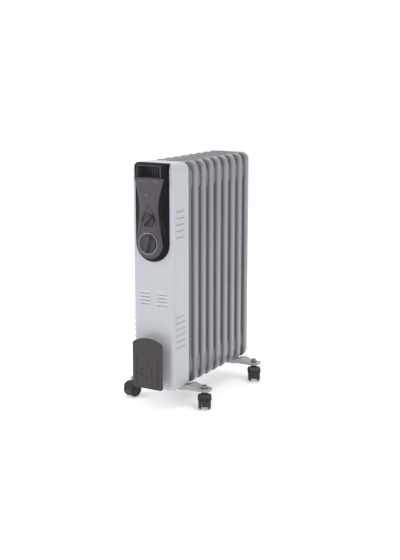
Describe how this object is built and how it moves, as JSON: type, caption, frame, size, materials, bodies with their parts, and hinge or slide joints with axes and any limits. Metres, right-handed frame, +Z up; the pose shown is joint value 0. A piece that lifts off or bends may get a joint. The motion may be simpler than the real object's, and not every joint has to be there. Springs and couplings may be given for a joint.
{
  "type": "oil filled radiator heater",
  "caption": "Free-standing oil filled heater: tall pressed fins in a row, a front housing with two round knobs, a hand grip and a cord wrap, on two leg brackets with casters.",
  "frame": {"origin": "on the floor, under the middle of the whole heater's box", "axes": "+Z up, -Y towards the control panel, +X to the right seen from the control panel"},
  "size_m": [0.2712, 0.4302, 0.6318],
  "materials": {
    "fin_paint": "semi-gloss powder coat",
    "housing_paint": "semi-gloss powder coat",
    "leg_paint": "semi-gloss powder coat",
    "zinc_steel": "zinc plated",
    "rubber": "matt",
    "panel_gloss": "gloss",
    "fascia_satin": "satin",
    "wrap_plastic": "satin",
    "knob_plastic": "satin",
    "silver_trim": "satin metallised",
    "red_lens": "gloss",
    "lamp_glass": "clear",
    "control_moulding": "moulded",
    "caster_plastic": "moulded, slight gloss"
  },
  "bodies": {
    "root": {"fin_1": "fin_paint", "fin_2": "fin_paint", "fin_3": "fin_paint", "fin_4": "fin_paint", "fin_5": "fin_paint", "fin_6": "fin_paint", "fin_7": "fin_paint", "fin_8": "fin_paint", "fin_9": "fin_paint", "housing_cover": "housing_paint", "housing_back_plate": "zinc_steel", "element_flange": "zinc_steel", "housing_screws": "zinc_steel", "panel_and_wrap_screws": "zinc_steel", "front_u_bolt": "zinc_steel", "rear_u_bolt": "zinc_steel", "wing_nuts": "zinc_steel", "caster_stems": "zinc_steel", "caster_nuts": "zinc_steel", "caster_washers": "zinc_steel", "thermal_cutout": "zinc_steel", "element_tubes": "zinc_steel", "front_leg_bracket": "leg_paint", "rear_leg_bracket": "leg_paint", "element_gasket": "rubber", "cord_gland": "rubber", "internal_wires": "rubber", "control_panel": "panel_gloss", "panel_fascia": "fascia_satin", "hand_grip": "fascia_satin", "cord_wrap_plate": "wrap_plastic", "cord_wrap_core": "wrap_plastic", "thermostat_ring": "silver_trim", "indicator_lens": "red_lens", "indicator_lamp": "lamp_glass", "selector_switch": "control_moulding", "thermostat_body": "control_moulding", "terminal_block": "control_moulding"},
    "selector_dial": {"selector_knob": "knob_plastic", "selector_shaft": "zinc_steel"},
    "thermostat_dial": {"thermostat_knob": "knob_plastic", "thermostat_shaft": "zinc_steel"},
    "swivel_front_right": {"caster_hood_front_right": "caster_plastic", "caster_axle_front_right": "zinc_steel"},
    "wheel_front_right_a": {"caster_wheel_front_right_a": "caster_plastic"},
    "wheel_front_right_b": {"caster_wheel_front_right_b": "caster_plastic"},
    "swivel_front_left": {"caster_hood_front_left": "caster_plastic", "caster_axle_front_left": "zinc_steel"},
    "wheel_front_left_a": {"caster_wheel_front_left_a": "caster_plastic"},
    "wheel_front_left_b": {"caster_wheel_front_left_b": "caster_plastic"},
    "swivel_rear_right": {"caster_hood_rear_right": "caster_plastic", "caster_axle_rear_right": "zinc_steel"},
    "wheel_rear_right_a": {"caster_wheel_rear_right_a": "caster_plastic"},
    "wheel_rear_right_b": {"caster_wheel_rear_right_b": "caster_plastic"},
    "swivel_rear_left": {"caster_hood_rear_left": "caster_plastic", "caster_axle_rear_left": "zinc_steel"},
    "wheel_rear_left_a": {"caster_wheel_rear_left_a": "caster_plastic"},
    "wheel_rear_left_b": {"caster_wheel_rear_left_b": "caster_plastic"}
  },
  "joints": [
    {"name": "selector_turn", "type": "hinge", "parent": "root", "child": "selector_dial", "pos_m": [0, -0.20614, 0.493], "axis": [0, 1, 0], "range_deg": [-135, 0]},
    {"name": "thermostat_turn", "type": "hinge", "parent": "root", "child": "thermostat_dial", "pos_m": [0, -0.20614, 0.434], "axis": [0, 1, 0], "range_deg": [-167, 133]},
    {"name": "swivel_front_right", "type": "hinge", "parent": "root", "child": "swivel_front_right", "pos_m": [0.1025, -0.10248, 0.041], "axis": [0, 0, 1], "continuous": true},
    {"name": "spin_front_right_a", "type": "hinge", "parent": "swivel_front_right", "child": "wheel_front_right_a", "pos_m": [0.1125, -0.1198, 0.0195], "axis": [0.866, 0.5, 0], "continuous": true},
    {"name": "spin_front_right_b", "type": "hinge", "parent": "swivel_front_right", "child": "wheel_front_right_b", "pos_m": [0.1125, -0.1198, 0.0195], "axis": [0.866, 0.5, 0], "continuous": true},
    {"name": "swivel_front_left", "type": "hinge", "parent": "root", "child": "swivel_front_left", "pos_m": [-0.1025, -0.10248, 0.041], "axis": [0, 0, 1], "continuous": true},
    {"name": "spin_front_left_a", "type": "hinge", "parent": "swivel_front_left", "child": "wheel_front_left_a", "pos_m": [-0.10734, -0.12189, 0.0195], "axis": [0.9703, -0.2419, 0], "continuous": true},
    {"name": "spin_front_left_b", "type": "hinge", "parent": "swivel_front_left", "child": "wheel_front_left_b", "pos_m": [-0.10734, -0.12189, 0.0195], "axis": [0.9703, -0.2419, 0], "continuous": true},
    {"name": "swivel_rear_right", "type": "hinge", "parent": "root", "child": "swivel_rear_right", "pos_m": [0.1025, 0.17521, 0.041], "axis": [0, 0, 1], "continuous": true},
    {"name": "spin_rear_right_a", "type": "hinge", "parent": "swivel_rear_right", "child": "wheel_rear_right_a", "pos_m": [0.1125, 0.15789, 0.0195], "axis": [0.866, 0.5, 0], "continuous": true},
    {"name": "spin_rear_right_b", "type": "hinge", "parent": "swivel_rear_right", "child": "wheel_rear_right_b", "pos_m": [0.1125, 0.15789, 0.0195], "axis": [0.866, 0.5, 0], "continuous": true},
    {"name": "swivel_rear_left", "type": "hinge", "parent": "root", "child": "swivel_rear_left", "pos_m": [-0.1025, 0.17521, 0.041], "axis": [0, 0, 1], "continuous": true},
    {"name": "spin_rear_left_a", "type": "hinge", "parent": "swivel_rear_left", "child": "wheel_rear_left_a", "pos_m": [-0.1125, 0.15789, 0.0195], "axis": [0.866, -0.5, 0], "continuous": true},
    {"name": "spin_rear_left_b", "type": "hinge", "parent": "swivel_rear_left", "child": "wheel_rear_left_b", "pos_m": [-0.1125, 0.15789, 0.0195], "axis": [0.866, -0.5, 0], "continuous": true}
  ]
}
